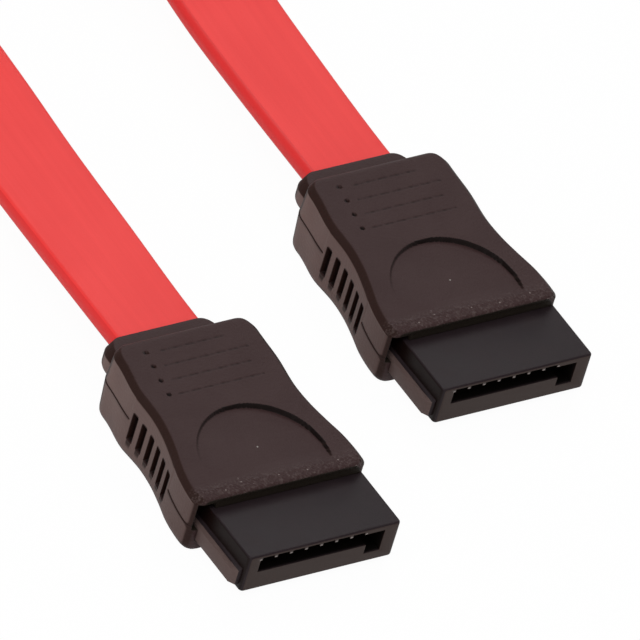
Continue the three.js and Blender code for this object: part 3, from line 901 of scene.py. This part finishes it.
overmould = overmould_mesh()
round_off(overmould, 38)
remember_place(overmould)
remember_sunken(overmould)
overmould.data.materials.append(overmould_material())
for letter in plug_places:
    grip = placed_copy(overmould, f"overmould_skin_{letter}", letter)
    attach(grip, "root")
    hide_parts(f"overmould_{letter}")
bpy.data.objects.remove(overmould)


# Housing: the hard black head that pushes into a drive, with a wing on its left side and an
# L-shaped slot. Seven channels in the slot's roof hold the contacts and leave thin ribs between.
head_side_corner = 0.35
head_edge = 0.16
slot_left = -4.85
slot_right = 5.65
slot_top = 3.4
slot_floor = 2.3
leg_floor = 1.5
leg_left = 4.3
slot_depth = 6.2
channel_top = 3.62
channel_width = 1.0
channel_low = 3.08
contact_first = -4.2
contact_pitch = 1.27
contact_count = 7
wing_tip = 0.45
wing_lead_in = 0.45
wing_lead_width = 0.3
wing_side_top = 2.25
ledge_line = -6.12
edge_bevel = 0.045


def head_mesh():
    """Rings from the mating face back, with rounded vertical corners and small rounded edges."""
    depths = [head_side_corner * (1 - math.cos(t)) for t in np.linspace(0, math.pi / 2, 9)]
    centre = (head_left + head_right) / 2
    half = (head_right - head_left) / 2
    middle = (head_bottom + head_top) / 2
    rings = []
    for y in [*depths, housing_rear]:
        side_inset = edge_inset(head_side_corner, head_side_corner - y)
        tall_inset = edge_inset(head_edge, head_edge - y)
        section = rounded_rectangle(2 * (half - side_inset), head_top - head_bottom - 2 * tall_inset,
                                    head_edge, 4, 1)
        rings.append([(centre + x, y, middle + z) for x, z in section])
    faces = tube_faces(len(rings), len(rings[0]))
    piece = new_piece("housing", [p for ring in rings for p in ring], faces)
    outwards(piece)
    return piece


def solid_between(name, first, second):
    """A closed solid between two outlines that have the same number of points."""
    count = len(first)
    faces = [(i, (i + 1) % count, (i + 1) % count + count, i + count) for i in range(count)]
    faces.append(tuple(reversed(range(count))))
    faces.append(tuple(range(count, 2 * count)))
    piece = new_piece(name, [*first, *second], faces)
    outwards(piece)
    return piece


def wing_mesh():
    """The wing with its lead-in; its ledge rises from the outer edge to the head's wall."""
    inside = head_left + head_overlap
    outline = [
        (inside, wing_tip), (head_left, wing_tip), (wing_outer + wing_lead_width, wing_tip),
        (wing_outer, wing_tip + wing_lead_in), (wing_outer, wing_rear), (inside, wing_rear),
    ]
    slope = (wing_top - wing_side_top) / (head_left - wing_outer)
    ledge = [wing_side_top + slope * (min(x, head_left) - wing_outer) for x, y in outline]
    return solid_between("wing", [(x, y, wing_bottom) for x, y in outline],
                         [(x, y, z) for (x, y), z in zip(outline, ledge)])


def slot_hollow():
    outline = [
        (slot_left, slot_top), (slot_left, slot_floor), (leg_left, slot_floor), (leg_left, leg_floor),
        (slot_right, leg_floor), (slot_right, slot_top),
    ]
    mouth, floor_end = [[(x, y, z) for x, z in outline] for y in (-1, slot_depth)]
    pieces = [solid_between("slot", mouth, floor_end)]
    for i in range(contact_count):
        x = contact_first + i * contact_pitch
        pieces.append(box_piece("channel", x - channel_width / 2, x + channel_width / 2, -1.2,
                                housing_rear + 1, channel_low, channel_top))
    return union_of(pieces)


def housing_mesh():
    piece = head_mesh()
    combine(piece, wing_mesh(), "UNION")
    groove = box_piece("ledge_groove", ledge_line - 0.03, ledge_line + 0.03, wing_tip + 1.0, wing_rear + 1,
                       wing_side_top + 0.1, wing_top + 1)
    combine(piece, groove, "DIFFERENCE")
    combine(piece, slot_hollow(), "DIFFERENCE")
    bevel = piece.modifiers.new("edges", "BEVEL")
    bevel.width = 0.001 * edge_bevel
    bevel.segments = 2
    bevel.limit_method = "ANGLE"
    bevel.angle_limit = math.radians(40)
    apply_modifiers(piece)
    return piece


def housing_material():
    """Hard black plastic, smoother than the overmould, with painted shade on the side walls and in the
    slot, painted light on the mating face and the wing's outer face, painted highlights at the rib ends,
    and dust.
    """
    material, tree, shader = principled("black_housing", roughness=0.45, specular=0.1)
    place = plug_place(tree)
    grain = use_group(tree, moulded_grain, {"Place": place, "Grain per mm": 9.0, "Clouds per mm": 0.5})
    parts = add_node(tree, "ShaderNodeSeparateXYZ", {"Vector": place})
    x, y, z = parts.outputs["X"], parts.outputs["Y"], parts.outputs["Z"]
    top_tone = blend_colours(tree, grain.outputs["Mask"], (0.013, 0.0085, 0.0105), (0.023, 0.0155, 0.017))
    # Painted shade: the head's side walls are darkened.
    wall_shaded = blend_colours(tree, sideways(tree, 0.6, 0.9), top_tone, (0.007, 0.003, 0.0025))
    # Painted light: the wing's outer face and the ledge outside its line are lighter.
    outer = within(tree, x, wing_outer - 0.1, ledge_line - 0.02)
    wing_lit = blend_colours(tree, outer, wall_shaded, (0.09, 0.06, 0.055))
    # Painted light: the mating face is lighter than the top.
    at_face = within(tree, y, -0.1, 0.03)
    face_lit = blend_colours(tree, at_face, wing_lit, (0.040, 0.0265, 0.023))
    # Painted shade: the slot's inside, from just behind the mating face, is nearly black.
    in_slot = times(tree, ramp(tree, y, 0.03, 0.22), within(tree, x, slot_left - 0.03, slot_right + 0.03),
                    within(tree, z, leg_floor - 0.03, channel_top + 0.03))
    slot_shaded = blend_colours(tree, in_slot, face_lit, (0.002, 0.0013, 0.001))
    # Painted highlight: a bright spot on the end of each rib at the slot's top edge.
    turns = add_node(tree, "ShaderNodeMath", {
        0: x, 1: 1 / contact_pitch, 2: 20 - contact_first / contact_pitch}, operation="MULTIPLY_ADD")
    turn = add_node(tree, "ShaderNodeMath", {0: turns.outputs[0]}, operation="FRACT")
    rib_highlight = times(tree, within(tree, turn.outputs[0], 0.43, 0.57), within(tree, y, -0.1, 0.12),
                 within(tree, z, slot_top - 0.03, slot_top + 0.13),
                 within(tree, x, contact_first - contact_pitch,
                        contact_first + contact_count * contact_pitch))
    rib_highlighted = blend_colours(tree, rib_highlight, slot_shaded, (0.2, 0.17, 0.16))
    dust = use_group(tree, dust_specks, {"Place": place, "Cells per mm": 0.9, "Share": 0.04, "Size": 0.1})
    dusty = blend_colours(tree, dust.outputs["Mask"], rib_highlighted, (0.2, 0.18, 0.17))
    tree.links.new(dusty, shader.inputs["Base Color"])
    shine = add_node(tree, "ShaderNodeMapRange", {
        "Value": grain.outputs["Mask"], "To Min": 0.38, "To Max": 0.52})
    tree.links.new(shine.outputs[0], shader.inputs["Roughness"])
    add_bump(tree, shader, grain.outputs["Height"], 0.25, 0.00002)
    return material


housing = housing_mesh()
round_off(housing, 35)
remember_place(housing)
housing.data.materials.append(housing_material())
for letter in plug_places:
    head = placed_copy(housing, f"housing_head_{letter}", letter)
    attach(head, "root")
    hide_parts(f"housing_{letter}")
bpy.data.objects.remove(housing)


# Contacts: seven strips of gold-plated spring bronze in each slot's roof, bowed down at the front,
# pressed into the housing, with flat tails behind it that the wires are soldered to.
contact_width = 0.76
contact_thickness = 0.16
contact_top = 3.57
contact_tip = 0.6
contact_bow = 0.42
tip_drop = 0.06
bow_start = 1.6
bow_end = 3.8
seat_length = 0.5
tail_end = 11.3


def bow_line():
    """The strip's middle line as points of y and z, with the spring's bow as one soft curve."""
    middle = contact_top - contact_thickness / 2
    points = [(contact_tip, middle - tip_drop), (contact_tip + seat_length, middle)]
    for t in np.linspace(0, 1, 16)[1:-1]:
        y = contact_tip + seat_length + t * (bow_end - seat_length)
        lowest = (bow_start - seat_length) / (bow_end - seat_length)
        shape = ease(t / lowest) if t < lowest else ease((1 - t) / (1 - lowest))
        points.append((y, middle - contact_bow * float(shape)))
    points.append((contact_tip + bow_end, middle))
    points.append((tail_end, middle))
    return points


def contact_row_tree(material):
    """Nodes that sweep a strip's section along its line and repeat it across the slot."""
    tree = bpy.data.node_groups.new("contact_row", "GeometryNodeTree")
    tree.interface.new_socket("Line", in_out="INPUT", socket_type="NodeSocketGeometry")
    for label, value in (("Count", contact_count), ("Pitch", 0.001 * contact_pitch),
                         ("First", 0.001 * contact_first), ("Width", 0.001 * contact_width),
                         ("Thickness", 0.001 * contact_thickness)):
        kind = "NodeSocketInt" if label == "Count" else "NodeSocketFloat"
        socket = tree.interface.new_socket(label, in_out="INPUT", socket_type=kind)
        socket.default_value = value
    tree.interface.new_socket("Row", in_out="OUTPUT", socket_type="NodeSocketGeometry")
    source = tree.nodes.new("NodeGroupInput")
    sink = tree.nodes.new("NodeGroupOutput")
    line = add_node(tree, "GeometryNodeMeshToCurve", {"Mesh": source.outputs["Line"]})
    section = add_node(tree, "GeometryNodeCurvePrimitiveQuadrilateral", {
        "Width": source.outputs["Width"], "Height": source.outputs["Thickness"]})
    soft = add_node(tree, "GeometryNodeFilletCurve", {
        "Curve": section.outputs[0], "Count": 3, "Radius": 0.00004}, mode="POLY")
    strip = add_node(tree, "GeometryNodeCurveToMesh", {
        "Curve": line.outputs[0], "Profile Curve": soft.outputs[0], "Fill Caps": True})
    start = add_node(tree, "ShaderNodeCombineXYZ", {"X": source.outputs["First"]})
    offset = add_node(tree, "ShaderNodeCombineXYZ", {"X": source.outputs["Pitch"]})
    row = add_node(tree, "GeometryNodeMeshLine", {
        "Count": source.outputs["Count"], "Start Location": start.outputs[0], "Offset": offset.outputs[0]},
        mode="OFFSET")
    copies = add_node(tree, "GeometryNodeInstanceOnPoints", {
        "Points": row.outputs[0], "Instance": strip.outputs[0]})
    real = add_node(tree, "GeometryNodeRealizeInstances", {"Geometry": copies.outputs[0]})
    finish = add_node(tree, "GeometryNodeSetMaterial", {"Geometry": real.outputs[0], "Material": material})
    tree.links.new(finish.outputs[0], sink.inputs[0])
    return tree


def contact_material():
    """Thin gold plating, drawn lengthwise, with a slow change of shine."""
    material, tree, shader = principled("gold_contact", roughness=0.28, metallic=1.0)
    place = add_node(tree, "ShaderNodeTexCoord")
    drawn = add_node(tree, "ShaderNodeMapping", {
        "Vector": place.outputs["Object"], "Scale": (20000, 400, 20000)})
    lines = add_node(tree, "ShaderNodeTexNoise", {"Vector": drawn.outputs[0], "Scale": 1.0, "Detail": 3.0})
    colour = blend_colours(tree, lines.outputs[0], (0.72, 0.5, 0.17), (0.86, 0.66, 0.3))
    tree.links.new(colour, shader.inputs["Base Color"])
    shine = add_node(tree, "ShaderNodeMapRange", {"Value": lines.outputs[0], "To Min": 0.2, "To Max": 0.4})
    tree.links.new(shine.outputs[0], shader.inputs["Roughness"])
    return material


def contact_row():
    points = [(0, y, z) for y, z in bow_line()]
    mesh = bpy.data.meshes.new("contact_row")
    mesh.from_pydata([tuple(0.001 * c for c in p) for p in points],
                     [(i, i + 1) for i in range(len(points) - 1)], [])
    piece = add_object("contact_row", mesh)
    nodes = piece.modifiers.new("row", "NODES")
    nodes.node_group = contact_row_tree(contact_material())
    apply_modifiers(piece)
    outwards(piece)
    round_off(piece, 40)
    return piece


contacts = contact_row()
for letter in plug_places:
    row = placed_copy(contacts, f"contact_row_{letter}", letter)
    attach(row, "root")
    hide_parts(*[f"contact_{letter}_{i + 1}" for i in range(contact_count)])
bpy.data.objects.remove(contacts)


# Wires: four tinned conductors in white insulation, three bare drain wires and two foil sleeves in
# each plug, on a moulded carrier. The overmould covers them, and they keep their shapes.
def inner_material(name, dark, light, roughness, metallic, grain_scale):
    return grained_material(name, dark, light, roughness, grain_scale, 0.8, 0.00003, metallic)


tinned_wire = inner_material("tinned_wire", (0.55, 0.56, 0.58), (0.72, 0.73, 0.75), 0.35, 1.0, 12.0)
white_insulation = inner_material("white_insulation", (0.7, 0.7, 0.67), (0.82, 0.82, 0.8), 0.55, 0.0, 4.0)
shield_foil = inner_material("shield_foil", (0.62, 0.63, 0.65), (0.8, 0.81, 0.83), 0.3, 1.0, 6.0)
natural_plastic = inner_material("natural_plastic", (0.6, 0.58, 0.52), (0.7, 0.68, 0.62), 0.55, 0.0, 5.0)
inner_finishes = {
    "conductor": tinned_wire, "drain_wire": tinned_wire, "core_insulation": white_insulation,
    "pair_shield": shield_foil, "wire_carrier": natural_plastic,
}
for node_name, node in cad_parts.items():
    for start, material in inner_finishes.items():
        if node_name.startswith(start):
            node.data.materials.clear()
            node.data.materials.append(material)


# Floor: a white table top and white surroundings, with two soft lamps.
floor_size = 1.5
floor_mesh = bpy.data.meshes.new("floor")
corners = [(-floor_size, -floor_size, 0), (floor_size, -floor_size, 0),
           (floor_size, floor_size, 0), (-floor_size, floor_size, 0)]
floor_mesh.from_pydata(corners, [], [(0, 1, 2, 3)])
floor = add_object("floor", floor_mesh)
floor_grey = 0.85
floor_white_share = 0.97


def seen_directly(tree):
    """One where a surface is seen by the camera, or in a gloss or through glass."""
    path = add_node(tree, "ShaderNodeLightPath")
    seen = path.outputs["Is Camera Ray"]
    for other in ("Is Glossy Ray", "Is Transmission Ray"):
        either = add_node(tree, "ShaderNodeMath", {0: seen, 1: path.outputs[other]}, operation="MAXIMUM")
        seen = either.outputs[0]
    return seen


def floor_material():
    """A pale surface that is shown almost pure white and still lights the plugs from below."""
    material, tree = empty_material("white_floor")
    diffuse = add_node(tree, "ShaderNodeBsdfDiffuse", {"Color": (floor_grey, floor_grey, floor_grey, 1)})
    white = add_node(tree, "ShaderNodeEmission", {"Strength": 1.0})
    share = times(tree, seen_directly(tree), floor_white_share)
    mix = add_node(tree, "ShaderNodeMixShader", {"Fac": share, 1: diffuse.outputs[0], 2: white.outputs[0]})
    add_node(tree, "ShaderNodeOutputMaterial", {"Surface": mix.outputs[0]})
    return material


floor.data.materials.append(floor_material())

world = bpy.data.worlds.new("studio")
bpy.context.scene.world = world
world.use_nodes = True
world_tree = world.node_tree
world_tree.nodes.clear()
direction = add_node(world_tree, "ShaderNodeTexCoord")
height = add_node(world_tree, "ShaderNodeSeparateXYZ", {"Vector": direction.outputs["Generated"]})
above = ramp(world_tree, height.outputs["Z"], 0.22, 0.5, "SMOOTHSTEP")
tone = blend_colours(world_tree, above, (1, 1, 1), (0.2, 0.2, 0.2))
sky = add_node(world_tree, "ShaderNodeBackground", {"Color": tone})
add_node(world_tree, "ShaderNodeOutputWorld", {"Surface": sky.outputs[0]})


def soft_lamp(name, place, size, watts):
    """A square soft box that faces the plugs."""
    data = bpy.data.lights.new(name, "AREA")
    data.size = size
    data.energy = watts
    lamp = add_object(name, data)
    lamp.location = place
    lamp.rotation_euler = (view_aim - Vector(place)).to_track_quat("-Z", "Y").to_euler()


soft_lamp("key_lamp", (-0.3, -0.15, 0.6), 0.45, 3.0)
soft_lamp("rear_lamp", (0.3, 0.4, 0.6), 0.45, 2.2)
bpy.context.scene.view_settings.view_transform = "Standard"
